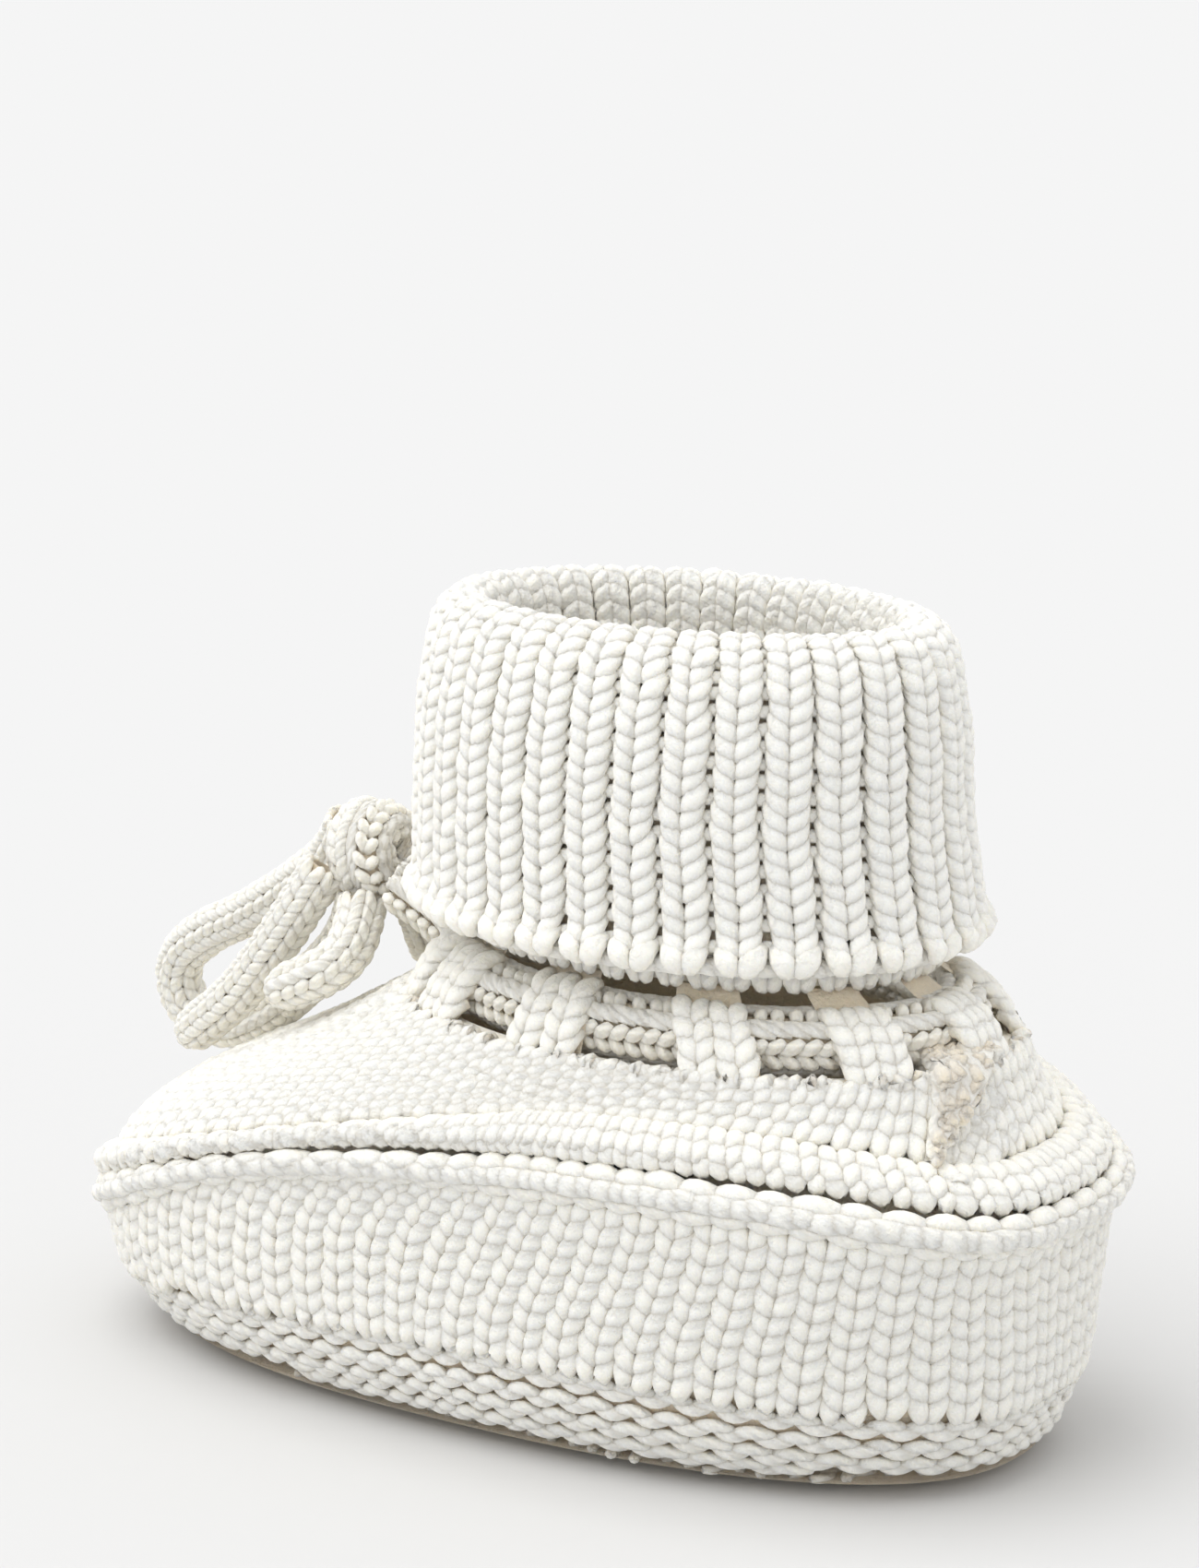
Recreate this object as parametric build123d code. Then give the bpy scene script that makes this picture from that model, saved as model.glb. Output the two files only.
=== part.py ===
from build123d import *
import os
from math import cos, pi, radians, sin, tan

# Knitted baby bootie, in millimetres: +Z up, toe toward -X, heel toward +X.
# The origin is on the floor, under the middle of the foot's length and width.

# driving dimensions
foot_half_length = 52.0
ridge_half_width = 27.4
wall = 2.6            # thickness of the knitted fabric
footbed = 3.2         # thickness of the sole
ridge_proud = 1.9     # how far the two garter ridges stand out
ridge_row = 3.5       # height of one ridge
ridge_peak = 29.4     # crease between the ridges, at its highest
ridge_peak_x = 25.0
toe_drop = 18.2       # how much lower the crease is at the toe
heel_drop = 4.0
fold_peak = 9.6       # line where the sole folds up into the wall
ankle_base = 36.6     # foot of the eyelet straps
ankle_top = 43.6      # top of the eyelet straps
cord_level = 40.0
cord_diameter = 4.6
cord_corners = 18     # corners of the drawstring's route round the ankle
lead_spread = 2.45    # half the distance between the two cord ends at the front
cord_gap = 0.25         # slack between the drawstring and the straps
cord_cover = 0.8      # fabric outside the drawstring under a strap
fold_base = 69.2      # where the leg starts to roll over
rim_top = 73.4
flap_bottom = 44.6
bead_top = 48.6       # top of the bind-off edge
strap_turns = (0, 32, 64, 98, 130, 151, 209, 230, 262, 296, 328)
strap_half_turn = 7.5
knot_centre = Vector(-24.2, -0.5, 46.0)
knot_radius = 5.0
root_gap = 0.35       # from the knot to each loop and tail
panel_half_width = 11.5
panel_back = -6.0

# foot outlines: height, toe end, heel end, half width, squareness, toe bias
foot_rings = (
    (0.0, -43.0, 42.5, 19.2, 2.3, 0.05),
    (1.5, -46.3, 45.6, 22.0, 2.4, 0.05),
    (4.5, -48.7, 47.6, 24.2, 2.5, 0.05),
    (9.0, -50.1, 48.6, 25.4, 2.6, 0.05),
    (14.0, -49.7, 48.9, 25.8, 2.7, 0.05),
    (20.0, -46.0, 49.2, 25.8, 2.9, 0.05),
    (26.0, -37.5, 49.6, 25.8, 2.7, 0.04),
    (30.0, -29.0, 45.6, 24.6, 2.4, 0.03),
    (33.2, -23.0, 43.8, 22.6, 2.2, 0.01),
    (ankle_base, -17.0, 42.6, 20.8, 2.1, 0.0),
)
strap_rings = (
    (ankle_base, -17.0, 42.6, 20.8, 2.1, 0.0),
    (cord_level, -14.8, 40.4, 19.3, 2.0, 0.0),
    (ankle_top, -11.2, 35.0, 16.1, 2.0, 0.0),
)
leg_rings = (
    (ankle_top, -11.2, 35.0, 16.1, 2.0, 0.0),
    (49.0, -11.6, 33.9, 15.6, 2.0, 0.0),
    (58.0, -12.0, 33.0, 15.4, 2.0, 0.0),
    (fold_base, -11.3, 32.3, 14.0, 2.0, 0.0),
)
flap_rings = (
    (bead_top, -16.4, 38.4, 20.2, 2.0, 0.0),
    (58.0, -16.1, 37.1, 19.7, 2.0, 0.0),
    (64.0, -15.9, 36.9, 19.1, 2.0, 0.0),
    (fold_base, -15.2, 36.2, 17.9, 2.0, 0.0),
)
bead_rings = (
    (flap_bottom, -15.4, 38.8, 20.0, 2.0, 0.0),
    (45.8, -16.8, 39.8, 21.2, 2.0, 0.0),
    (47.4, -16.9, 39.5, 21.1, 2.0, 0.0),
    (bead_top, -16.4, 38.4, 20.2, 2.0, 0.0),
)
rim_outer_rings = (
    (fold_base, -15.2, 36.2, 17.9, 2.0, 0.0),
    (71.2, -14.6, 35.6, 17.1, 2.0, 0.0),
    (72.7, -13.4, 34.4, 15.6, 2.0, 0.0),
    (rim_top, -12.2, 33.2, 14.2, 2.0, 0.0),
)
rim_inner_rings = (
    (fold_base, -8.9, 29.9, 11.6, 2.0, 0.0),
    (71.2, -9.3, 30.3, 11.9, 2.0, 0.0),
    (72.7, -10.2, 31.2, 12.6, 2.0, 0.0),
    (rim_top, -11.2, 32.2, 13.2, 2.0, 0.0),
)
leg_wall = 3.0
flap_wall = 3.6


def crease(x):
    """Height of the crease between the two ridges."""
    back = x > ridge_peak_x
    reach = (foot_half_length - ridge_peak_x) if back else (foot_half_length + ridge_peak_x)
    drop, power = (heel_drop, 2.0) if back else (toe_drop, 2.15)
    return ridge_peak - drop * (abs(x - ridge_peak_x) / reach) ** power


def sole_fold(x):
    """Height of the line where the sole turns up into the side wall."""
    return fold_peak - 0.0015 * (x - 10.0) ** 2


def outline(ring, inset=0.0, height=None):
    """One closed horizontal section of the bootie, as a face."""
    level, toe, heel, half, power, bias = ring
    middle, reach = (toe + heel) / 2, (heel - toe) / 2 - inset
    points = []
    for step in range(24):
        turn = 2 * pi * step / 24
        along = abs(cos(turn)) ** (2 / power) * (1 if cos(turn) >= 0 else -1)
        across = abs(sin(turn)) ** (2 / power) * (1 if sin(turn) >= 0 else -1)
        points.append((middle + reach * along, (half - inset) * across * (1 - bias * along)))
    face = make_face(Spline(*points, periodic=True))
    return face.moved(Location((0, 0, level if height is None else height)))


def skin(rings, inset=0.0, sink=0.0):
    """The solid inside a stack of sections, shrunk by inset and lowered by sink."""
    return loft([outline(ring, inset, ring[0] - sink) for ring in rings])


def between(low, high):
    """A block bounded by two heights that vary along X."""
    xs = [-60, -52, -44, -34, -22, -8, 8, 25, 38, 47, 60]
    floor = Spline(*[(x, low(x)) for x in xs])
    roof = Spline(*[(x, high(x)) for x in xs])
    ends = [Line(floor @ 0, roof @ 0), Line(floor @ 1, roof @ 1)]
    face = make_face([floor, roof] + ends)
    return extrude(Plane.XZ * face, amount=40, both=True)


def wedge(ring, turn, half_turn, low, high):
    """A sector of an oval ring, from low to high."""
    middle, reach, side = (ring[1] + ring[2]) / 2, (ring[2] - ring[1]) / 2, ring[3]
    a, b = radians(turn - half_turn), radians(turn + half_turn)
    start, end = (2 * reach * cos(a), 2 * side * sin(a)), (2 * reach * cos(b), 2 * side * sin(b))
    face = make_face(Polyline((0, 0), start, end, close=True))
    return extrude(face.moved(Location((middle, 0, low))), amount=high - low)


def foot_shell():
    """The foot below the ankle as one hollow skin, before it is divided."""
    hollow = [outline(foot_rings[1], wall + 1.2, footbed)]
    hollow += [outline(ring, wall, ring[0] - 1.2) for ring in foot_rings[3:-1]]
    hollow += [outline(foot_rings[-1], 5.4, ankle_base)]
    return loft(hollow)


def ridge_shell():
    """The foot grown outward by the height of the ridges."""
    return loft([outline(ring, -ridge_proud) for ring in foot_rings[1:-1]])


def foot_parts():
    outer, hollow = skin(foot_rings), foot_shell()
    grown = ridge_shell()
    wall_solid = outer - hollow
    ridge_solid = grown - hollow
    low = lambda x: -1.0
    top = lambda x: ankle_base
    below = lambda x: crease(x) - ridge_row
    above = lambda x: crease(x) + ridge_row
    upper = wall_solid & between(above, top)
    panel = Pos(-60, 0, 25) * Box(2 * (60 + panel_back), 2 * panel_half_width, 60)
    parts = {
        "sole": wall_solid & between(low, sole_fold),
        "side_wall": wall_solid & between(sole_fold, below),
        "lower_ridge": ridge_solid & between(below, crease),
        "upper_ridge": ridge_solid & between(crease, above),
        "instep_panel": upper & panel,
        "upper_side": upper - panel,
    }
    return parts


def ankle_cord():
    """The drawstring: one cord from the knot, round the ankle and back to it."""
    level, toe, heel, half = strap_rings[1][:4]
    inset = cord_cover + cord_gap + cord_diameter / 2
    middle, reach, side = (toe + heel) / 2, (heel - toe) / 2 - inset, half - inset
    start = knot_centre + Vector(4.9, 0, -1.9)
    leads = [[(start.X, start.Y + lead_spread * hand, start.Z), (-12.4, lead_spread * hand, 41.0)]
             for hand in (1, -1)]
    turns = [pi - 2 * pi * n / cord_corners for n in range(1, cord_corners)]
    bends = [(middle + reach * cos(turn), side * sin(turn), level) for turn in turns]
    return tube(leads[0] + bends + leads[1][::-1], cord_diameter, "ankle_cord")


def rounded(points, cut=0.45):
    """Straight runs joined by tangent arcs, each as large as its two runs allow."""
    edges, radii, start = [], [], points[0]
    for before, corner, after in zip(points, points[1:], points[2:]):
        into, out = (corner - before).normalized(), (after - corner).normalized()
        reach = cut * min((corner - before).length, (after - corner).length)
        half_turn = radians(into.get_angle(out)) / 2
        radius = reach / tan(half_turn)
        inward = (out - into).normalized()
        middle = corner + inward * (radius / cos(half_turn) - radius)
        first, last = corner - into * reach, corner + out * reach
        edges += [Line(start, first), ThreePointArc(first, middle, last)]
        radii.append(radius)
        start = last
    edges.append(Line(start, points[-1]))
    return Wire([edge.edge() for edge in edges]), radii


def tube(route, diameter, report=None):
    """A round cord along a route."""
    path, radii = rounded([Vector(*p) for p in route])
    body = sweep(Plane(path @ 0, z_dir=path % 0) * Circle(diameter / 2), path=path)
    if report:
        ratio = body.volume / (pi * diameter ** 2 / 4 * path.length)
        print(report, "length", round(path.length, 1), "volume ratio", round(ratio, 3),
              "radii", [round(r, 1) for r in radii])
    return body


def root(turn, lift):
    """Where a strand leaves the knot: turn from -X toward +Y, lift above level."""
    a, b = radians(turn), radians(lift)
    out = Vector(-cos(b) * cos(a), cos(b) * sin(a), sin(b)) * (knot_radius + root_gap)
    return tuple(knot_centre + out)


def bow_parts():
    routes = {
        "bow_loop_front": [root(15, 25), (-30.2, 1.4, 45.0), (-36.4, 2.2, 40.6), (-42.8, 2.7, 36.6),
                           (-48.8, 3.2, 33.9), (-53.4, 3.8, 30.2), (-52.8, 4.3, 25.2),
                           (-47.6, 4.7, 23.6), (-42.0, 4.9, 26.3), (-35.8, 4.6, 31.4),
                           (-29.8, 3.6, 37.4), root(30, -30)],
        "bow_loop_far": [root(110, 10), (-22.2, 9.4, 46.8), (-23.4, 14.6, 44.0), (-25.2, 18.9, 40.4),
                         (-28.2, 20.0, 35.8), (-29.4, 16.6, 32.6), (-27.6, 11.6, 33.6),
                         (-25.4, 7.8, 37.8), root(100, -50)],
        "bow_tail_near": [root(-45, -15), (-29.6, -5.7, 40.9), (-32.8, -6.1, 36.4), (-36.3, -6.0, 32.2),
                          (-40.8, -5.7, 28.4), (-44.4, -5.1, 25.9)],
        "bow_tail_short": [root(-100, -50), (-22.4, -6.2, 39.2), (-22.6, -8.8, 37.0),
                           (-25.4, -10.0, 35.4), (-29.4, -10.0, 33.6)],
    }
    keep_out = Pos(knot_centre) * Sphere(knot_radius + root_gap - 0.05)
    parts = {}
    for name, route in routes.items():
        parts[name] = tube(route, cord_diameter, name) - keep_out
    return parts


def knot():
    """The knot that ties the two cord ends together."""
    return Pos(knot_centre) * Sphere(knot_radius)


def ankle_parts():
    """The knitted straps over the drawstring, cut from one band."""
    hollow = [outline(strap_rings[0], 2.4), outline(strap_rings[1], cord_cover, cord_level - 1.4)]
    hollow += [outline(strap_rings[1], cord_cover, cord_level + 1.4), outline(strap_rings[2], 2.4)]
    band = skin(strap_rings) - loft(hollow)
    parts = {}
    for count, turn in enumerate(strap_turns, 1):
        sector = wedge(strap_rings[1], turn, strap_half_turn, ankle_base - 1, ankle_top + 1)
        parts[f"eyelet_strap_{count:02d}"] = band & sector
    return parts


def cuff_parts():
    leg = skin(leg_rings) - skin(leg_rings, leg_wall)
    flap = skin(flap_rings) - skin(flap_rings, flap_wall)
    bead = skin(bead_rings) - skin(bead_rings[:1] + bead_rings[-1:], flap_wall)
    rim = skin(rim_outer_rings) - skin(rim_inner_rings)
    groove = Pos(flap_rings[1][2], 0, 57) * Box(8, 2.6, 26)
    seam_solid = (skin(flap_rings, -0.35) - skin(flap_rings, 1.2)) & groove
    return {"leg_rib": leg, "cuff_flap": flap - seam_solid, "flap_edge": bead,
            "cuff_fold": rim, "cuff_seam": seam_solid}


def seam_parts(parts):
    """The joined edges up the back of the foot, let into the fabric beside them."""
    grown = skin(foot_rings, -0.5) - skin(foot_rings, 1.2)
    strip = Pos(45, 0, 20) * Box(30, 2.6, 60)
    above = lambda x: crease(x) + ridge_row
    below = lambda x: crease(x) - ridge_row
    seams = {
        "heel_seam_upper": grown & strip & between(above, lambda x: ankle_base - 0.2),
        "heel_seam_lower": grown & strip & between(sole_fold, below),
    }
    parts["upper_side"] -= seams["heel_seam_upper"]
    parts["side_wall"] -= seams["heel_seam_lower"]
    return seams


def main():
    os.makedirs("parts", exist_ok=True)
    parts = foot_parts()
    parts.update(seam_parts(parts))
    parts["ankle_cord"] = ankle_cord()
    parts.update(ankle_parts())
    parts.update(cuff_parts())
    parts["bow_knot"] = knot()
    parts.update(bow_parts())
    for name, solid in parts.items():
        print(name, len(solid.solids()), round(solid.volume, 1))
        export_step(solid, f"parts/{name}.step")


main()
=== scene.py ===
import bpy
import numpy as np
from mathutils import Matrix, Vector


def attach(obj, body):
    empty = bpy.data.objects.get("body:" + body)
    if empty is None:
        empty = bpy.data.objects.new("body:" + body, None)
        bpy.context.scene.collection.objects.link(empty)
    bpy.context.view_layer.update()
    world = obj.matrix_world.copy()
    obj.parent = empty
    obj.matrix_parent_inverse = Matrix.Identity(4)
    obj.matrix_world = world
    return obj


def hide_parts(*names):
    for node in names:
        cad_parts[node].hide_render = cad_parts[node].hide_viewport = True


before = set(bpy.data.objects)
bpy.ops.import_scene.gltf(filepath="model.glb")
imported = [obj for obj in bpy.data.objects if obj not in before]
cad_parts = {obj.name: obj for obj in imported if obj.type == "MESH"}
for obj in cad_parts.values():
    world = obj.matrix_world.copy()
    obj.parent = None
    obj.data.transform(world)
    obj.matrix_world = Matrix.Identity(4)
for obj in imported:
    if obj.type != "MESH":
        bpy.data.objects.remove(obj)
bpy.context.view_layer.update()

mm = 0.001
scene = bpy.context.scene

# Sections of the bootie: height, toe end, heel end, half width, squareness, toe bias (mm)
footRings = (
    (0.0, -43.0, 42.5, 19.2, 2.3, 0.05),
    (1.5, -46.3, 45.6, 22.0, 2.4, 0.05),
    (4.5, -48.7, 47.6, 24.2, 2.5, 0.05),
    (9.0, -50.1, 48.6, 25.4, 2.6, 0.05),
    (14.0, -49.7, 48.9, 25.8, 2.7, 0.05),
    (20.0, -46.0, 49.2, 25.8, 2.9, 0.05),
    (26.0, -37.5, 49.6, 25.8, 2.7, 0.04),
    (30.0, -29.0, 45.6, 24.6, 2.4, 0.03),
    (33.2, -23.0, 43.8, 22.6, 2.2, 0.01),
    (36.6, -17.0, 42.6, 20.8, 2.1, 0.0),
)
strapRings = (
    (36.6, -17.0, 42.6, 20.8, 2.1, 0.0),
    (40.0, -14.8, 40.4, 19.3, 2.0, 0.0),
    (43.6, -11.2, 35.0, 16.1, 2.0, 0.0),
)
ankle = {"base": 36.6, "top": 43.6, "level": 40.0}
ridge = {"row": 3.5, "peak": 29.4, "peakX": 25.0, "toeDrop": 18.2, "heelDrop": 4.0, "reach": 52.0}
fold = {"peak": 9.6, "bend": 0.0015, "at": 10.0}


# Shape of the surfaces

def smooth(x, xs, ys):
    slopes = np.gradient(ys, xs)
    i = np.clip(np.searchsorted(xs, x) - 1, 0, len(xs) - 2)
    span = xs[i + 1] - xs[i]
    t = np.clip((x - xs[i]) / span, 0, 1)
    a, b = 2 * t ** 3 - 3 * t ** 2 + 1, t ** 3 - 2 * t ** 2 + t
    return a * ys[i] + b * span * slopes[i] + (1 - a) * ys[i + 1] + (t ** 3 - t ** 2) * span * slopes[i + 1]


def ringAt(rings, z):
    table = np.array(rings)
    return [smooth(z, table[:, 0], table[:, k]) for k in range(1, 6)]


def signedPower(value, power):
    return np.sign(value) * np.abs(value) ** power


def onSkin(rings, z, turn, grow=0.0):
    z, turn, grow = np.broadcast_arrays(*[np.asarray(v, float) for v in (z, turn, grow)])
    toe, heel, half, power, bias = ringAt(rings, z)
    along = signedPower(np.cos(turn), 2 / power)
    across = signedPower(np.sin(turn), 2 / power)
    x = (toe + heel) / 2 + ((heel - toe) / 2 + grow) * along
    y = (half + grow) * across * (1 - bias * along)
    return np.stack([x, y, z], -1) * mm


def crease(x):
    back = x > ridge["peakX"]
    reach = np.where(back, ridge["reach"] - ridge["peakX"], ridge["reach"] + ridge["peakX"])
    away = np.abs(x - ridge["peakX"]) / reach
    return ridge["peak"] - np.where(back, ridge["heelDrop"] * away ** 2, ridge["toeDrop"] * away ** 2.15)


def soleFold(x):
    return fold["peak"] - fold["bend"] * (x - fold["at"]) ** 2


def evenTurns(count, z=24.0, start=0.0, end=1.0):
    fine = np.linspace(0, 2 * np.pi, 2001)
    line = onSkin(footRings, z, fine)
    run = np.r_[0, np.cumsum(np.linalg.norm(np.diff(line, axis=0), axis=1))]
    share = np.linspace(start, end, count)
    return np.interp(share * run[-1], run, fine)


class Patch:                    # a share round and a distance along give a place on a surface
    def __init__(self, lines, closed=True, flip=1.0, steps=90, sink=0.8):
        gaps = np.linalg.norm(np.diff(lines, axis=1), axis=2)
        run = np.concatenate([np.zeros((len(lines), 1)), np.cumsum(gaps, 1)], 1)
        self.length, self.closed, self.flip, self.sink = run[:, -1] / mm, closed, flip, sink
        self.step = run[:, -1].max() / (steps - 1)
        wanted = np.arange(steps) * self.step
        grid = [[np.interp(wanted, run[i], line[:, k]) for k in range(3)] for i, line in enumerate(lines)]
        self.grid = np.array(grid).transpose(0, 2, 1)
        self.round = np.linalg.norm(np.diff(self.grid[:, steps // 3], axis=0), axis=1).sum() / mm

    def place(self, share, along):
        count = len(self.grid)
        s = np.mod(share, 1.0) * (count - 1) if self.closed else np.clip(share, 0, 1) * (count - 1)
        t = np.clip(along * mm / self.step, 0, self.grid.shape[1] - 1.001)
        i, j = np.clip(s.astype(int), 0, count - 2), t.astype(int)
        u, v = (s - i)[..., None], (t - j)[..., None]
        low = self.grid[i, j] * (1 - u) + self.grid[i + 1, j] * u
        high = self.grid[i, j + 1] * (1 - u) + self.grid[i + 1, j + 1] * u
        return low * (1 - v) + high * v

    def reach(self, share):
        count = len(self.grid)
        s = np.mod(share, 1.0) if self.closed else np.clip(share, 0, 1)
        return np.interp(s * (count - 1), np.arange(count), self.length)

    def lift(self, share, along, height):
        wide, tall = 0.6 / self.round, 0.6
        across = self.place(share + wide, along) - self.place(share - wide, along)
        limit = (self.grid.shape[1] - 1.001) * self.step / mm
        top = np.clip(along + tall, 0, limit)
        up = self.place(share, top) - self.place(share, np.clip(top - 2 * tall, 0, limit))
        out = np.cross(across, up) * self.flip
        out /= np.linalg.norm(out, axis=-1, keepdims=True) + 1e-12
        return self.place(share, along) + out * (height[..., None] - self.sink) * mm, out


# Yarn: each leg of a stitch is one short fat strand laid on a patch

class Strands:                  # collects strands of yarn and makes one mesh of them
    sides = 8

    def __init__(self):
        self.points, self.faces, self.yarn, self.rise, self.count = [], [], [], [], 0

    def lay(self, patch, share, along, path, jitter, seed, keep=None):
        # path has the rows across, up, height and radius in mm, along one strand
        rng = np.random.default_rng(seed)
        share, along = share.ravel(), along.ravel()
        if keep is not None:
            share, along = share[keep.ravel()], along[keep.ravel()]
        if len(share) == 0:
            return
        n, k, m = len(share), path.shape[1], self.sides
        wobble = rng.normal(0, jitter, (4, n, 1))
        across = path[0] * (1 + wobble[3]) + wobble[0]
        up, height = path[1] + wobble[1], path[2] + 0.5 * wobble[2]
        s = share[:, None] + across / patch.round
        centre, out = patch.lift(s, along[:, None] + up, height)
        run = np.gradient(centre, axis=1)
        run /= np.linalg.norm(run, axis=2, keepdims=True) + 1e-12
        side = np.cross(run, out)
        side /= np.linalg.norm(side, axis=2, keepdims=True) + 1e-12
        over = np.cross(side, run)
        turn = np.arange(m) * 2 * np.pi / m
        radius = (path[3] * (1 + 0.6 * wobble[3]))[..., None, None] * mm
        ring = side[:, :, None] * np.cos(turn)[:, None] + 0.78 * over[:, :, None] * np.sin(turn)[:, None]
        points = centre[:, :, None] + ring * radius
        lengths = np.cumsum(np.linalg.norm(np.diff(centre, axis=1, prepend=centre[:, :1]), axis=2), 1) / mm
        self.add(points, turn, lengths, height, rng.random(n))

    def add(self, points, turn, lengths, height, shade):
        n, k, m = points.shape[:3]
        index = self.count + np.arange(n * k * m).reshape(n, k, m)
        beside = np.roll(index, -1, 2)
        quads = np.stack([index[:, :-1], beside[:, :-1], beside[:, 1:], index[:, 1:]], -1)
        self.faces += quads.reshape(-1, 4).tolist()
        self.faces += index[:, 0, ::-1].tolist() + index[:, -1].tolist()
        self.points.append(points.reshape(-1, 3))
        angle = np.broadcast_to(turn, (n, k, m))
        size = (n, k, m)
        values = [np.broadcast_to(lengths[:, :, None], size), np.cos(angle), np.sin(angle)]
        self.yarn.append(np.stack(values, -1).reshape(-1, 3))
        # painted shade: height above the fabric, raised on each strand's outward side, later darkens low and
        # inward-facing yarn
        above = np.broadcast_to(height[:, :, None], size) + 0.55 * np.sin(angle)
        self.rise.append(np.stack([above, np.broadcast_to(shade[:, None, None], size)], -1).reshape(-1, 2))
        self.count += n * k * m

    def back(self, patch, depth, low=0.0, high=1.0, first=0.0, last=1.0, rows=14, columns=120,
             shadedTone=-0.9):        # the fabric behind the strands, a plain skin sunk below them and given a low tone, painted shade that darkens it
        share = np.linspace(first, last, columns)[:, None] + np.zeros(rows)
        along = patch.reach(share) * np.linspace(low, high, rows)
        points, _ = patch.lift(share, along, np.full(share.shape, -depth))
        self.skin(points, shadedTone, patch.flip > 0)

    def skin(self, points, shadedTone, outward=False):
        size = points.shape[0] * points.shape[1]
        index = self.count + np.arange(size).reshape(points.shape[:2])
        quads = np.stack([index[:-1, :-1], index[1:, :-1], index[1:, 1:], index[:-1, 1:]], -1).reshape(-1, 4)
        self.faces += (quads if outward else quads[:, ::-1]).tolist()
        self.points.append(points.reshape(-1, 3))
        self.yarn.append(np.tile([0.0, 1.0, 0.0], (size, 1)))
        # painted shade: the skin's tone is stored as its height, so a low tone comes out darker and warmer
        self.rise.append(np.tile([shadedTone, 0.5], (size, 1)))
        self.count += size

    def build(self, name, material, body, *nodes):
        mesh = bpy.data.meshes.new(name)
        mesh.from_pydata(np.concatenate(self.points).tolist(), [], self.faces)
        yarn = mesh.attributes.new("yarn", "FLOAT_VECTOR", "POINT")
        yarn.data.foreach_set("vector", np.concatenate(self.yarn).astype(np.float32).ravel())
        rise = mesh.attributes.new("rise", "FLOAT_VECTOR", "POINT")
        both = np.concatenate(self.rise)
        rise.data.foreach_set("vector", np.c_[both, np.zeros(len(both))].astype(np.float32).ravel())
        mesh.polygons.foreach_set("use_smooth", [True] * len(mesh.polygons))
        mesh.materials.append(material)
        piece = bpy.data.objects.new(name, mesh)
        scene.collection.objects.link(piece)
        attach(piece, body)
        if nodes:
            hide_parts(*nodes)
        return piece


def leg(side, width, row, radius, lean=0.34, height=0.45):    # one leg of a knit stitch, leaning outward
    u = np.linspace(0, 1, 7)
    swell = np.sin(np.pi * (0.1 + 0.8 * u)) ** 0.7
    across = side * (0.08 + lean * u ** 0.9) * width
    up = (-0.70 + 1.75 * u) * row
    out = height * (np.sin(np.pi * np.clip(u * 0.95 + 0.08, 0, 1)) ** 0.8) - 0.55 * u ** 4
    return np.array([across, up, out, radius * (0.45 + 0.55 * swell)])


def bump(width, row, radius, arch, shift=0.0, height=0.4):    # the short arch of a purl stitch
    u = np.linspace(-1, 1, 7)
    swell = np.cos(u * np.pi / 2 * 0.85) ** 0.5
    across = 0.5 * width * u
    up = shift * row + arch * row * (1 - u ** 2)
    out = height * (1 - 0.9 * u ** 2) - 0.1
    return np.array([across, up, out, radius * (0.5 + 0.5 * swell)])


def cells(columns, rows, pitch, start=0.0, offset=0.0):
    share = (np.arange(columns) + 0.5 + offset) / columns
    along = start + (np.arange(rows) + 0.5) * pitch
    return np.meshgrid(share, along, indexing="ij")


def knit(strands, patch, columns, rows, pitch, seed, radius=None, start=0.0, **extra):
    width = patch.round / columns
    share, along = cells(columns, rows, pitch, start)
    radius = radius or 0.27 * width
    inside = along < patch.reach(share) + 0.3 * pitch
    for side in (-1, 1):
        strands.lay(patch, share, along, leg(side, width, pitch, radius, **extra), 0.05, seed + side, inside)


# Materials

class Wire:                     # a socket on which sums make Math nodes
    def __init__(self, nodes, socket):
        self.nodes, self.socket = nodes, socket

    def math(self, kind, other=None, swap=False):
        if not isinstance(other, Wire) and other is not None:
            other = float(other)
        pair = (other, self) if swap else (self, other)
        return self.nodes.add("ShaderNodeMath", {"operation": kind}, *[p for p in pair if p is not None])

    def __add__(self, other): return self.math("ADD", other)
    def __radd__(self, other): return self.math("ADD", other, True)
    def __sub__(self, other): return self.math("SUBTRACT", other)
    def __rsub__(self, other): return self.math("SUBTRACT", other, True)
    def __mul__(self, other): return self.math("MULTIPLY", other)
    def __rmul__(self, other): return self.math("MULTIPLY", other, True)
    def __truediv__(self, other): return self.math("DIVIDE", other)
    def sine(self): return self.math("SINE")
    def clamp(self): return self.nodes.add("ShaderNodeClamp", {}, self)


class Nodes:                    # adds nodes to one material: kind, settings, then sockets
    def __init__(self, name):
        self.material = bpy.data.materials.new(name)
        self.material.use_nodes = True
        self.tree = self.material.node_tree
        self.shader = self.tree.nodes["Principled BSDF"]

    def add(self, kind, settings, *sockets, output=0, **named):
        node = self.tree.nodes.new(kind)
        for key, value in settings.items():
            setattr(node, key, value)
        for key, value in list(enumerate(sockets)) + list(named.items()):
            self.put(node.inputs[key], value)
        return Wire(self, node.outputs[output])

    def put(self, target, value):
        if isinstance(value, Wire):
            self.tree.links.new(value.socket, target)
        else:
            target.default_value = value

    def set(self, **values):
        for key, value in values.items():
            self.put(self.shader.inputs[key.replace("_", " ")], value)


def mixColour(nodes, share, first, second):
    mixed = nodes.add("ShaderNodeMix", {"data_type": "RGBA"}, output=2)
    node = mixed.socket.node
    nodes.put(node.inputs[0], share)
    nodes.put(node.inputs[6], first)
    nodes.put(node.inputs[7], second)
    return mixed


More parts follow.
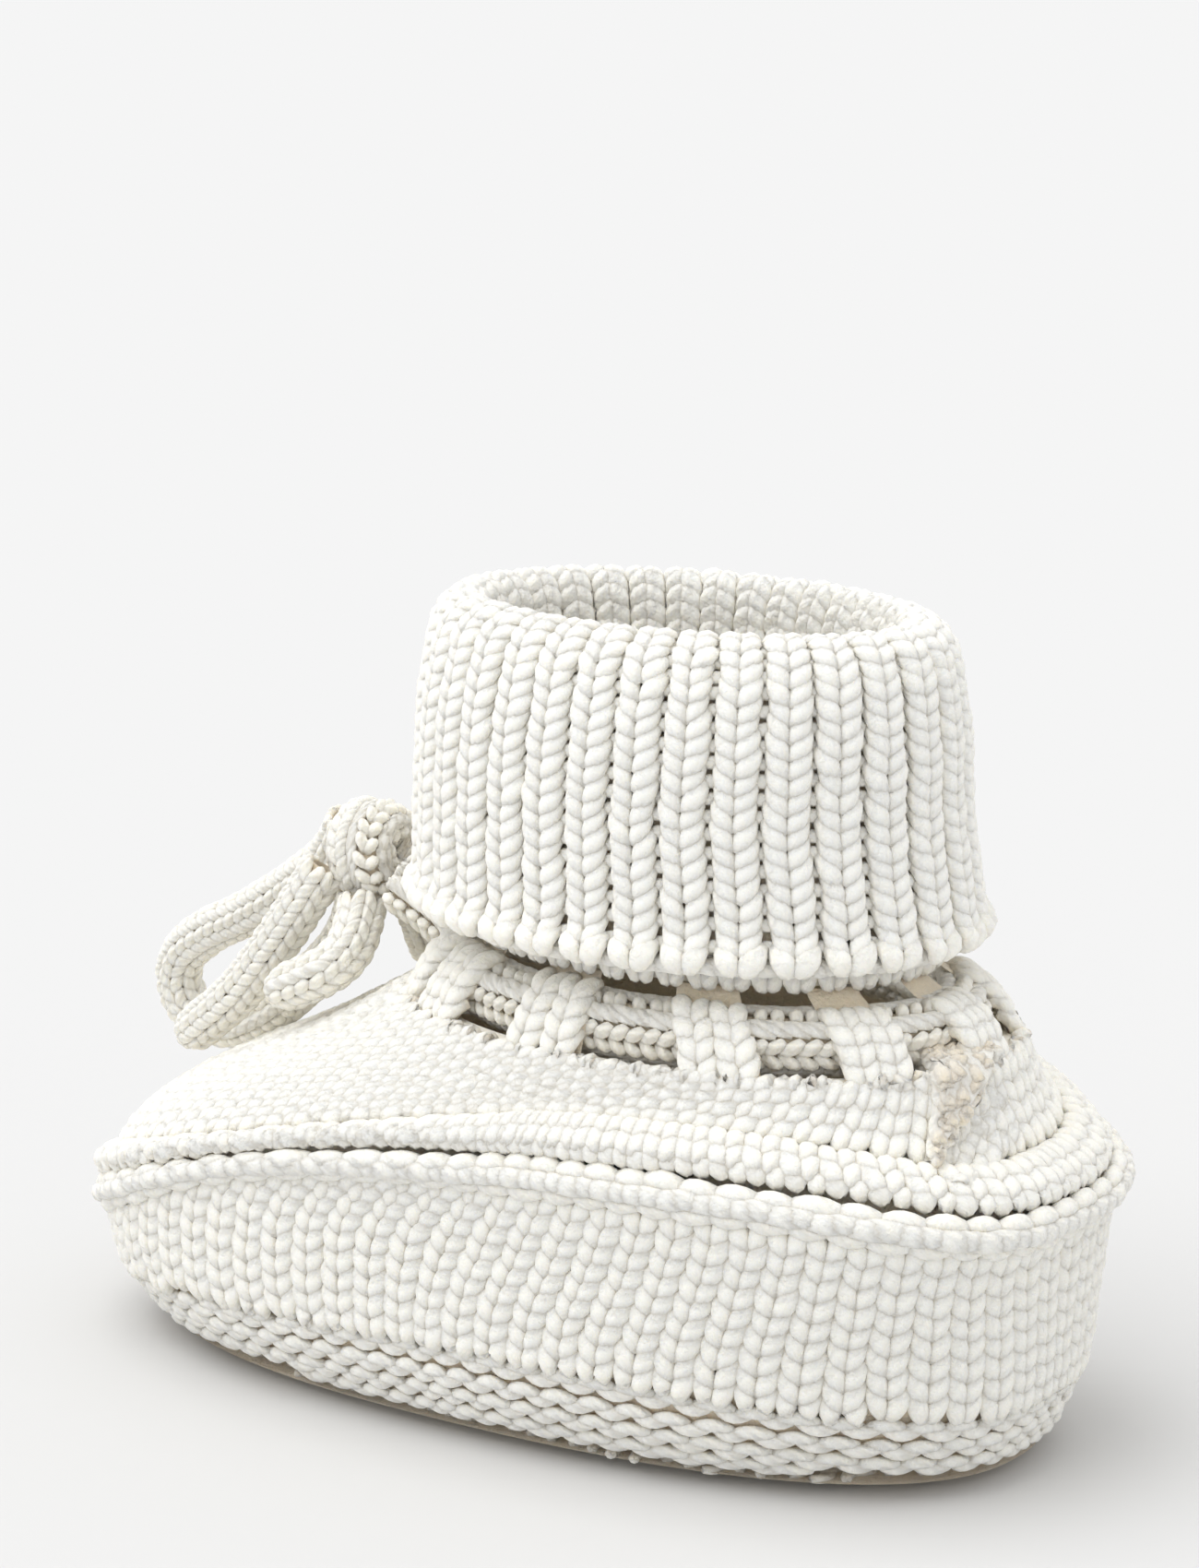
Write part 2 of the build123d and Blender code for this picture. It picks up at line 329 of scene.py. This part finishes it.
def yarnMaterial(name, look):
    nodes = Nodes(name)
    yarn = nodes.add("ShaderNodeAttribute", {"attribute_name": "yarn"}, output=1)
    parts = nodes.add("ShaderNodeSeparateXYZ", {}, yarn)
    node = parts.socket.node
    along, cosine, sine = [Wire(nodes, node.outputs[k]) for k in range(3)]
    rise = nodes.add("ShaderNodeAttribute", {"attribute_name": "rise"}, output=1)
    riseNode = nodes.add("ShaderNodeSeparateXYZ", {}, rise).socket.node
    above, shade = Wire(nodes, riseNode.outputs[0]), Wire(nodes, riseNode.outputs[1])
    angle = sine.math("ARCTAN2", cosine)
    ply = (angle * look["plies"] + along * look["twist"]).sine()      # grooves between the twisted plies
    place = nodes.add("ShaderNodeTexCoord", {}, output=3)
    fine = nodes.add("ShaderNodeTexNoise", {}, Vector=place, Scale=look["fuzzScale"], Detail=4.0)
    broad = nodes.add("ShaderNodeTexNoise", {}, Vector=place, Scale=90.0, Detail=2.0)
    # painted shade: lower strands, skins and the inward side of each strand are mixed toward the darker,
    # warmer shade colour, as in recesses
    depth = (above * look["shadeGain"] + look["shadeAt"]).clamp()
    shadedTone = mixColour(nodes, depth, look["shadeColour"], look["face"])
    fade = (shade * 0.5 + broad * 0.5) * look["unevenness"]
    shadedTone = mixColour(nodes, fade.clamp(), shadedTone, look["warm"])
    # painted shade: the grooves between the plies are darkened toward the shade colour
    groove = ((0.0 - ply) * 0.5 + 0.1).clamp() * look["groove"]
    shadedTone = mixColour(nodes, groove.clamp(), shadedTone, look["shadeColour"])
    height = ply * look["plyHeight"] + fine * look["fuzzHeight"]
    bumped = nodes.add("ShaderNodeBump", {}, Strength=look["bump"], Distance=0.0004, Height=height)
    nodes.set(Base_Color=shadedTone, Roughness=look["rough"] + 0.1 * fine, Normal=bumped)
    nodes.set(Sheen_Weight=look["sheen"], Sheen_Roughness=0.5)
    nodes.set(Subsurface_Weight=look["glow"], Subsurface_Scale=0.002)
    nodes.set(Specular_IOR_Level=0.2)
    nodes.shader.inputs["Subsurface Radius"].default_value = (1.0, 0.8, 0.55)
    return nodes.material


# face is the yarn's own colour; the darker, warmer colour after it is painted shade for recesses and ply
# grooves; warm is the yarn's own uneven tone
woolLook = {
    "face": (0.975, 0.945, 0.855, 1), "shadeColour": (0.86, 0.72, 0.53, 1), "warm": (0.96, 0.91, 0.79, 1),
    "plies": 2.0, "twist": 2.6, "plyHeight": 0.55, "fuzzScale": 2600.0, "fuzzHeight": 0.9, "bump": 0.7,
    "shadeGain": 0.7, "shadeAt": 0.82, "unevenness": 0.22, "groove": 0.18,
    "rough": 0.85, "sheen": 0.35, "glow": 0.35,
}
wool = yarnMaterial("wool", woolLook)
cordWool = yarnMaterial("cordWool", {**woolLook, "face": (0.975, 0.94, 0.84, 1), "twist": 3.0})
ribWool = yarnMaterial("ribWool", {**woolLook, "face": (0.98, 0.955, 0.875, 1)})
print("materials made")

# Camera and cords

view = {"turn": 35.5, "rise": 12.5, "away": 407.0, "aim": (0.7, 0.0, 55.5), "lens": 103.8}
turn, rise = np.radians(view["turn"]), np.radians(view["rise"])
outward = Vector((np.sin(turn) * np.cos(rise), -np.cos(turn) * np.cos(rise), np.sin(rise)))
camera = bpy.data.objects.new("camera", bpy.data.cameras.new("camera"))
camera.location = (Vector(view["aim"]) + outward * view["away"]) * mm
camera.rotation_euler = outward.to_track_quat("Z", "Y").to_euler()
camera.data.lens = view["lens"]
camera.data.sensor_width = 36.0
scene.collection.objects.link(camera)
scene.camera = camera

cords = {"diameter": 4.6, "columns": 5, "row": 1.55, "yarnRadius": 0.62}
knotCentre = np.array([-24.2, -0.5, 46.0])
knotReach = 5.35


def root(turnAway, lift):
    a, b = np.radians(turnAway), np.radians(lift)
    away = np.array([-np.cos(b) * np.cos(a), np.cos(b) * np.sin(a), np.sin(b)])
    return tuple(knotCentre + knotReach * away)


routes = {
    "bow_loop_front": [root(15, 25), (-30.2, 1.4, 45.0), (-36.4, 2.2, 40.6), (-42.8, 2.7, 36.6),
                       (-48.8, 3.2, 33.9), (-53.4, 3.8, 30.2), (-52.8, 4.3, 25.2),
                       (-47.6, 4.7, 23.6), (-42.0, 4.9, 26.3), (-35.8, 4.6, 31.4),
                       (-29.8, 3.6, 37.4), root(30, -30)],
    "bow_loop_far": [root(110, 10), (-22.2, 9.4, 46.8), (-23.4, 14.6, 44.0), (-25.2, 18.9, 40.4),
                     (-28.2, 20.0, 35.8), (-29.4, 16.6, 32.6), (-27.6, 11.6, 33.6),
                     (-25.4, 7.8, 37.8), root(100, -50)],
    "bow_tail_near": [root(-45, -15), (-29.6, -5.7, 40.9), (-32.8, -6.1, 36.4), (-36.3, -6.0, 32.2),
                      (-40.8, -5.7, 28.4), (-44.4, -5.1, 25.9)],
    "bow_tail_short": [root(-100, -50), (-22.4, -6.2, 39.2), (-22.6, -8.8, 37.0),
                       (-25.4, -10.0, 35.4), (-29.4, -10.0, 33.6)],
}
cordBodies = {"bow_loop_front": "front_loop", "bow_loop_far": "far_loop",
              "bow_tail_near": "near_tail", "bow_tail_short": "short_tail"}


def splineLine(points):
    curve = bpy.data.curves.new("route", "CURVE")
    curve.dimensions = "3D"
    spline = curve.splines.new("NURBS")
    spline.points.add(len(points) - 1)
    for target, point in zip(spline.points, points):
        target.co = (*[c * mm for c in point], 1.0)
    spline.order_u = 3
    spline.use_endpoint_u = True
    spline.resolution_u = 12
    holder = bpy.data.objects.new("route", curve)
    scene.collection.objects.link(holder)
    mesh = bpy.data.meshes.new_from_object(holder)
    line = np.array([v.co[:] for v in mesh.vertices])
    bpy.data.objects.remove(holder)
    return line


def tubePatch(line, radius, startRound=0.0, endRound=0.0):
    run = np.r_[0, np.cumsum(np.linalg.norm(np.diff(line, axis=0), axis=1))]
    fine = np.linspace(0, run[-1], max(40, int(run[-1] / mm * 2)))
    path = np.stack([np.interp(fine, run, line[:, k]) for k in range(3)], -1)
    heading = np.gradient(path, axis=0)
    heading /= np.linalg.norm(heading, axis=1, keepdims=True)
    normal = np.cross(heading[0], [0, 0, 1.0])
    if np.linalg.norm(normal) < 0.2:
        normal = np.cross(heading[0], [0, 1.0, 0])
    normals = []
    for direction in heading:
        normal = normal - direction * normal.dot(direction)
        normal = normal / np.linalg.norm(normal)
        normals.append(normal)
    first = np.array(normals)
    second = np.cross(heading, first)
    reach = np.full(len(fine), float(radius))
    for size, gap in ((startRound, fine / mm), (endRound, (fine[-1] - fine) / mm)):
        if size > 0:
            inside = np.clip(gap / size, 0, 1)
            reach *= np.sqrt(np.clip(1 - (1 - inside) ** 2, 0.03, 1))
    turns = np.linspace(0, 2 * np.pi, 33)
    lines = [path + (first * np.cos(a) + second * np.sin(a)) * (reach * mm)[:, None] for a in turns]
    return Patch(np.array(lines), steps=max(60, len(fine)), sink=0.0), path


def cordMesh(name, points, body, seed, ends=(0.0, 0.0), nodes=(), extra=0.0):
    patch, path = tubePatch(splineLine(points), cords["diameter"] / 2 - 0.62 + extra, *ends)
    patch.round = 2 * np.pi * (cords["diameter"] / 2 - 0.62)
    strands = Strands()
    strands.back(patch, 0.35, rows=60, columns=24)
    rows = int(patch.length.max() / cords["row"])
    width = patch.round / cords["columns"]
    share, along = cells(cords["columns"], rows, patch.length.max() / rows)
    for side in (-1, 1):
        shape = leg(side, width, cords["row"], cords["yarnRadius"], 0.36, 0.25)
        strands.lay(patch, share, along, shape, 0.04, seed + side)
    return strands.build(name, cordWool, body, *nodes), path


for number, (name, points) in enumerate(routes.items()):
    isTail = "tail" in name
    ends = (0.0, 2.4 if isTail else 0.0)
    piece, path = cordMesh(name + "_knit", points, cordBodies[name], 100 + number, ends, [name])
    if isTail:
        continue                                     # the tails are under 30 mm long

leadStart = knotCentre + np.array([4.9, 0, -1.9])
held = {"middle": 12.8, "reach": 24.25, "side": 15.95, "level": 38.7, "corners": 18, "spread": 2.45,
        "extra": 0.7}
leads = [[(leadStart[0], leadStart[1] + held["spread"] * hand, leadStart[2]),
          (-12.4, held["spread"] * hand, 41.0)] for hand in (1, -1)]
bends = [np.pi - 2 * np.pi * n / held["corners"] for n in range(1, held["corners"])]
around = [(held["middle"] + held["reach"] * np.cos(b), held["side"] * np.sin(b), held["level"])
          for b in bends]
ring = leads[0] + around + leads[1][::-1]
piece, path = cordMesh("ankle_cord_knit", ring, "bootie", 120, (0, 0), ["ankle_cord"], held["extra"])

wrap = {"radius": 2.75, "turns": 2.0, "pitch": 3.6, "points": 26}
steps = np.linspace(0, 1, wrap["points"])
angles = 2 * np.pi * wrap["turns"] * steps + 0.6
wrapAlong = wrap["pitch"] * (steps - 0.5) * wrap["turns"] * 0.62
wrapPoints = [tuple(knotCentre + [x, wrap["radius"] * np.cos(a), wrap["radius"] * np.sin(a)])
              for x, a in zip(wrapAlong, angles)]
piece, path = cordMesh("knot_wrap", wrapPoints, "bootie", 130, (1.8, 1.8), ["bow_knot"])
print("cords made")

# Foot

def levelOn(height, turns, shift=0.0):
    z = np.full(len(turns), 20.0)
    for _ in range(40):
        z = 0.5 * z + 0.5 * (height(onSkin(footRings, z + shift, turns)[:, 0] / mm))
    return z


foot = {"turns": 301, "wales": 72, "row": 1.95, "wallRows": 12, "soleRow": 2.2, "panelHalf": 11.5,
        "panelWales": 7}
turns = evenTurns(foot["turns"])
creaseZ = levelOn(crease, turns)
foldZ = levelOn(soleFold, turns)


def footPatch(low, high, grow=None, steps=30):
    share = np.linspace(0, 1, steps)
    z = low[:, None] * (1 - share) + high[:, None] * share
    swell = np.zeros(steps) if grow is None else grow * np.sin(np.pi * share) ** 0.6
    return Patch(onSkin(footRings, z, turns[:, None], swell), steps=60)


def fromTop(patch, columns, rows, pitch, offset=0.0):
    share, along = cells(columns, rows, pitch, 0.0, offset)
    return share, patch.reach(share) - along


wallPatch = footPatch(foldZ, creaseZ - ridge["row"])
wall = Strands()
wall.back(wallPatch, 0.5, columns=300)
share, along = fromTop(wallPatch, foot["wales"], foot["wallRows"], foot["row"])
for side in (-1, 1):
    width = wallPatch.round / foot["wales"]
    shape = leg(side, width, foot["row"], 0.27 * width)
    wall.lay(wallPatch, share, along, shape, 0.05, 10 + side, along > 0.2)
# the inside face of the wall and its lip at the ankle, toned darker and warmer as painted shade
insideFaceZ = np.linspace(3.4, ankle["base"] - 0.2, 40)
insideFace = Patch(onSkin(footRings, insideFaceZ[None, :], turns[:, None], -2.6), flip=-1.0, sink=0.0)
wall.back(insideFace, 0.0, columns=200, rows=40, shadedTone=-0.3)
lip = onSkin(footRings, ankle["base"] - 0.2, turns[:, None], np.linspace(-0.8, -2.6, 5)[None, :])
wall.back(Patch(lip, steps=6, sink=0.0), 0.0, columns=200, rows=5, shadedTone=-0.1)
piece = wall.build("side_wall_knit", wool, "bootie", "side_wall", "heel_seam_lower")

upperRidge = Strands()
patch = footPatch(creaseZ, creaseZ + ridge["row"], 1.5)
upperRidge.back(patch, 0.6, columns=300)
knit(upperRidge, patch, foot["wales"], 3, 1.9, 20, start=-0.3, height=0.5)
piece = upperRidge.build("upper_ridge_knit", wool, "bootie", "upper_ridge")

lowerRidge = Strands()
patch = footPatch(creaseZ - ridge["row"], creaseZ, 1.1)
lowerRidge.back(patch, 0.6, columns=300)
width = patch.round / foot["wales"]
garterRows = ((0.6, -0.2, 0.5), (1.5, 0.25, 0.0), (2.4, -0.2, 0.5), (3.3, 0.2, 0.0))
for number, (at, arch, offset) in enumerate(garterRows):
    share, along = cells(foot["wales"], 1, 0.0, at, offset)
    shape = bump(1.2 * width, 1.9, 0.92, arch, 0.0, 0.75)
    lowerRidge.lay(patch, share, along, shape, 0.07, 30 + number)
piece = lowerRidge.build("lower_ridge_knit", wool, "bootie", "lower_ridge")
print("wall and ridges made")

# Upper: the side goes from the ridge to the ankle and to the edge of the instep panel

def heightAt(x, y):
    low, high = np.full(x.shape, 12.0), np.full(x.shape, 36.6)
    for _ in range(28):
        z = (low + high) / 2
        toe, heel, half, power, bias = ringAt(footRings, z)
        along = (x - (toe + heel) / 2) / ((heel - toe) / 2)
        across = np.abs(y) / (half * (1 - bias * np.clip(along, -1, 1)))
        within = np.abs(along) ** power + across ** power < 1
        low, high = np.where(within, z, low), np.where(within, high, z)
    return low


def upperLines(start, end, steps=50):
    t = np.linspace(0, 1, steps)[None, :, None]
    flat = start[:, None, :2] * (1 - t) + end[:, None, :2] * t
    z = heightAt(flat[..., 0], flat[..., 1])
    z = np.clip(z, start[:, None, 2], 36.6)
    return np.concatenate([flat, z[..., None]], -1) * mm


def resample(line, count):
    run = np.r_[0, np.cumsum(np.linalg.norm(np.diff(line, axis=0), axis=1))]
    return np.stack([np.interp(np.linspace(0, run[-1], count), run, line[:, k]) for k in range(3)], -1)


ridgeTop = onSkin(footRings, creaseZ + ridge["row"], turns) / mm
ankleLine = onSkin(strapRings, ankle["base"], turns) / mm
half = foot["panelHalf"]
upper = Strands()
for hand in (1, -1):
    mine = (ridgeTop[:, 1] * hand >= 0) & ~((np.abs(ridgeTop[:, 1]) < half) & (ridgeTop[:, 0] < 0))
    base = ridgeTop[mine]
    mine = (ankleLine[:, 1] * hand >= 0) & ~((np.abs(ankleLine[:, 1]) < half) & (ankleLine[:, 0] < 0))
    rim = ankleLine[mine]
    base, rim = (base, rim) if hand > 0 else (base[::-1], rim[::-1])
    edge = np.linspace(rim[-1], base[-1], 30)[1:]
    edge[:, 1] = half * hand
    edge[:, 2] = heightAt(edge[:, 0], edge[:, 1])
    top = resample(np.concatenate([rim, edge]), 160)
    base = resample(base, 160)
    lines = upperLines(base, top)
    patch = Patch(lines if hand > 0 else lines[::-1], closed=False)
    upper.back(patch, 0.5, columns=160, rows=30, shadedTone=0.0)
    knit(upper, patch, int(patch.round / 3.1), 16, foot["row"], 40 + hand, radius=0.95)
piece = upper.build("upper_side_knit", wool, "bootie", "upper_side", "heel_seam_upper")

across = np.linspace(half, -half, 40)


def frontOf(line):              # the point of the toe half of a ring at each distance across
    behind = 1e3 * (line[:, 0] > 0)
    return np.array([line[np.argmin(np.abs(line[:, 1] - y) + behind)] for y in across])


frontRidge, frontAnkle = frontOf(ridgeTop), frontOf(ankleLine)
frontRidge[:, 1], frontAnkle[:, 1] = across, across
panelPatch = Patch(upperLines(frontRidge, frontAnkle), closed=False)
panel = Strands()
panel.back(panelPatch, 0.5, columns=40, rows=60)
knit(panel, panelPatch, foot["panelWales"], 26, foot["row"], 50, radius=0.9)
piece = panel.build("instep_panel_knit", wool, "bootie", "instep_panel")
print("upper made")

# Sole

soleSide = footPatch(np.full(len(turns), 1.6), foldZ)
sole = Strands()
sole.back(soleSide, 0.5, columns=300)
width = soleSide.round / foot["wales"]
for number, (arch, offset) in enumerate(((0.3, 0.0), (-0.3, 0.5))):
    share, along = fromTop(soleSide, foot["wales"], 6, foot["soleRow"], offset)
    path = bump(width, foot["soleRow"], 0.68, arch, 0.0, 0.25)
    sole.lay(soleSide, share, along + 0.4 * number, path, 0.06, 60 + number, along > 0.5)
flatSole = {"toe": -46.5, "heel": 45.8, "side": 22.0, "level": 1.35, "wales": 13, "rows": 42, "inside": 0.84,
            "columns": 60, "steps": 100, "rings": 12, "lift": 1.2, "footbed": 3.4, "shadedTone": -0.7}
flatRing = (0.0, -46.0, 45.3, 21.7, 2.35, 0.05)
rowsAcross = np.linspace(-flatSole["side"], flatSole["side"], flatSole["columns"])
reachX = np.linspace(flatSole["toe"], flatSole["heel"], flatSole["steps"])
y, x = np.meshgrid(rowsAcross, reachX, indexing="ij")
flat = np.stack([x, y, np.full(x.shape, flatSole["level"])], -1) * mm
under = Patch(flat, closed=False, steps=flatSole["steps"], sink=0.0)


def insideSole(share, along):
    x, y = flatSole["toe"] + along, flatSole["side"] * (2 * share - 1)
    middle, reach = (flatRing[1] + flatRing[2]) / 2, (flatRing[2] - flatRing[1]) / 2
    a, b = (x - middle) / reach, y / flatRing[3]
    return np.abs(a) ** flatRing[4] + np.abs(b) ** flatRing[4] < flatSole["inside"]


width = under.round / flatSole["wales"]
for number, (arch, offset) in enumerate(((0.3, 0.0), (-0.3, 0.5))):
    share, along = cells(flatSole["wales"], flatSole["rows"], foot["soleRow"], 0.0, offset)
    path = bump(width, foot["soleRow"], 0.62, arch, 0.0, 0.2)
    sole.lay(under, share, along + 0.4 * number, path, 0.05, 70 + number, insideSole(share, along))
ringLine = onSkin((flatRing, (2.0, *flatRing[1:])), flatSole["lift"], turns)
for level in (flatSole["lift"], flatSole["footbed"]):    # the flat below the stitches, and the footbed, both toned darker as painted shade
    rim = ringLine + np.array([0, 0, (level - flatSole["lift"]) * mm])
    rings = np.stack([rim * [s, s, 1] for s in np.linspace(0.02, 1, flatSole["rings"])], 1)
    sole.skin(rings, flatSole["shadedTone"])
piece = sole.build("sole_knit", wool, "bootie", "sole")
print("sole made")

# Ankle straps

strapTurns = (0, 32, 64, 98, 130, 151, 209, 230, 262, 296, 328)
strap = {"halfTurn": 7.5, "rows": 4, "row": 1.85}
for number, degrees in enumerate(strapTurns, 1):
    edge = np.radians(np.linspace(degrees - strap["halfTurn"], degrees + strap["halfTurn"], 12))
    z = np.linspace(ankle["base"] - 0.4, ankle["top"] + 0.2, 20)
    swell = 0.25 - 0.5 * np.abs(z - ankle["level"]) / 3.5
    patch = Patch(onSkin(strapRings, z[None, :], edge[:, None], swell), closed=False, steps=40)
    piece = Strands()
    piece.back(patch, 0.35, rows=12, columns=12)
    knit(piece, patch, 2, strap["rows"], strap["row"], 200 + 5 * number, radius=0.95, lean=0.30)
    built = piece.build(f"strap_{number:02d}_knit", wool, "bootie", f"eyelet_strap_{number:02d}")
print("straps made")

# Cuff: one profile from the bound-off edge up the flap, over the rim and down inside

cuff = {"ribs": 32, "row": 1.55, "knitShare": 0.80, "flapLength": 27.5, "raise": 0.40}
profile = (                     # oval, height, growth
    [("bead", 44.9, -2.0), ("bead", 44.7, -0.8), ("bead", 45.4, 0.0), ("bead", 46.6, 0.3)]
    + [("flap", z, 0.0) for z in np.linspace(48.6, 69.2, 12)]
    + [("rimOut", z, 0.0) for z in (70.2, 71.2, 72.2, 72.9, 73.3)]
    + [("rimIn", z, 0.0) for z in (73.3, 72.7, 71.8, 70.6, 69.2)]
    + [("leg", z, -3.0) for z in np.linspace(66.0, 46.0, 8)]
)
ovals = {                       # height, toe end, heel end, half width
    "bead": ((44.6, -15.4, 37.6, 19.6), (45.8, -16.4, 38.6, 20.6), (48.6, -16.2, 38.0, 20.2)),
    "flap": ((48.6, -16.4, 38.4, 20.2), (58.0, -16.1, 37.1, 19.7), (64.0, -15.9, 36.9, 19.1),
             (69.2, -15.2, 36.2, 17.9)),
    "rimOut": ((69.2, -15.2, 36.2, 17.9), (71.2, -14.6, 35.6, 17.1), (72.7, -13.4, 34.4, 15.6),
               (73.4, -12.2, 33.2, 14.2)),
    "rimIn": ((69.2, -8.9, 29.9, 11.6), (71.2, -9.3, 30.3, 11.9), (72.7, -10.2, 31.2, 12.6),
              (73.4, -11.2, 32.2, 13.2)),
    "leg": ((43.6, -11.2, 35.0, 16.1), (49.0, -11.6, 33.9, 15.6), (58.0, -12.0, 33.0, 15.4),
            (69.2, -11.3, 32.3, 14.0)),
}
cuffRings = {kind: [(*oval, 2, 0) for oval in rings] for kind, rings in ovals.items()}
fine = np.linspace(0, 2 * np.pi, 1001)
gaps = np.linalg.norm(np.diff(onSkin(cuffRings["flap"], 58.0, fine), axis=0), axis=1)
cuffTurns = np.interp(np.linspace(0, 1, 241), np.r_[0, np.cumsum(gaps)] / gaps.sum(), fine)
lines = np.stack([onSkin(cuffRings[kind], z, cuffTurns, grow) for kind, z, grow in profile], 1)
cuffPatch = Patch(lines, steps=160, sink=1.1)
ribWidth = cuffPatch.round / cuff["ribs"]
total = cuffPatch.length.max()
spans = {"cuff_flap_knit": (4.6, cuff["flapLength"]), "cuff_fold_knit": (cuff["flapLength"], 38.5),
         "leg_rib_knit": (38.5, total - 1.0)}
nodesOf = {"cuff_flap_knit": ["cuff_flap", "cuff_seam"], "cuff_fold_knit": ["cuff_fold"],
           "leg_rib_knit": ["leg_rib"]}
legZ = np.linspace(ankle["top"] - 0.4, 58.0, 24)
outerLeg = Patch(onSkin(cuffRings["leg"], legZ[None, :], cuffTurns[:, None]), sink=0.6)
for number, (name, (low, high)) in enumerate(spans.items()):
    piece = Strands()
    if name == "leg_rib_knit":
        piece.back(outerLeg, 0.6, columns=160, rows=10, shadedTone=-0.1)
        knit(piece, outerLeg, 44, 5, 1.9, 390, radius=0.85)
    piece.back(cuffPatch, 0.9, low / total - 0.02, high / total + 0.02, columns=200, rows=40)
    rows = int(round((high - low) / cuff["row"]))
    share, along = cells(cuff["ribs"], rows, (high - low) / rows, low)
    for side in (-1, 1):
        shape = leg(side, cuff["knitShare"] * ribWidth, cuff["row"], 0.92, 0.34, 0.3)
        shape[2] += cuff["raise"]
        piece.lay(cuffPatch, share, along, shape, 0.06, 300 + 10 * number + side)
    shape = bump(0.50 * ribWidth, cuff["row"], 0.62, 0.1, 0.0, 0.2)
    shape[2] -= 0.25
    piece.lay(cuffPatch, share + 0.5 / cuff["ribs"], along, shape, 0.05, 340 + number)
    built = piece.build(name, ribWool, "bootie", *nodesOf[name])

edge = Strands()
edge.back(cuffPatch, 0.9, 0.0, 6.0 / total, columns=200, rows=12, shadedTone=-0.1)
share, along = cells(cuff["ribs"], 1, 0.0, 3.6)
for side in (-1, 1):            # the last knit stitch swells over the bound-off chain
    shape = leg(side, 0.78 * ribWidth, 1.9, 1.05, 0.36, 0.5)
    shape[2] += 0.5
    edge.lay(cuffPatch, share, along, shape, 0.06, 360 + side)
for number, offset in enumerate((0.0, 0.5)):
    share, along = cells(2 * cuff["ribs"], 1, 0.0, 1.5 + 0.7 * number, offset)
    shape = bump(0.75 * ribWidth, 1.2, 0.95, 0.35 - 0.7 * number, 0.0, 0.55)
    edge.lay(cuffPatch, share, along, shape, 0.08, 370 + number)
built = edge.build("flap_edge_knit", ribWool, "bootie", "flap_edge")
print("cuff made")

# Floor and light

def stagePiece(name, points, faces, material):
    mesh = bpy.data.meshes.new(name)
    mesh.from_pydata(points, [], faces)
    mesh.materials.append(material)
    mesh.polygons.foreach_set("use_smooth", [True] * len(mesh.polygons))
    piece = bpy.data.objects.new(name, mesh)
    scene.collection.objects.link(piece)


paper = bpy.data.materials.new("paper")
paper.use_nodes = True
shader = paper.node_tree.nodes["Principled BSDF"]
shader.inputs["Base Color"].default_value = (0.64, 0.64, 0.64, 1)
shader.inputs["Roughness"].default_value = 1.0
shader.inputs["Specular IOR Level"].default_value = 0.0
size = 40.0
corners = [(-size, -size, 0), (size, -size, 0), (size, size, 0), (-size, size, 0)]
stagePiece("floor", corners, [(0, 1, 2, 3)], paper)


def softLight(name, toward, power, spread):
    light = bpy.data.lights.new(name, "SUN")
    light.energy, light.angle = power, np.radians(spread)
    holder = bpy.data.objects.new(name, light)
    holder.rotation_euler = Vector(toward).to_track_quat("Z", "Y").to_euler()
    scene.collection.objects.link(holder)


softLight("key", (-0.30, -0.30, 0.85), 1.5, 60)
world = bpy.data.worlds.new("world")
scene.world = world
world.use_nodes = True
world.node_tree.nodes["Background"].inputs["Color"].default_value = (1, 1, 1, 1)
world.node_tree.nodes["Background"].inputs["Strength"].default_value = 1.0
scene.view_settings.view_transform = "Standard"

print("scene made")
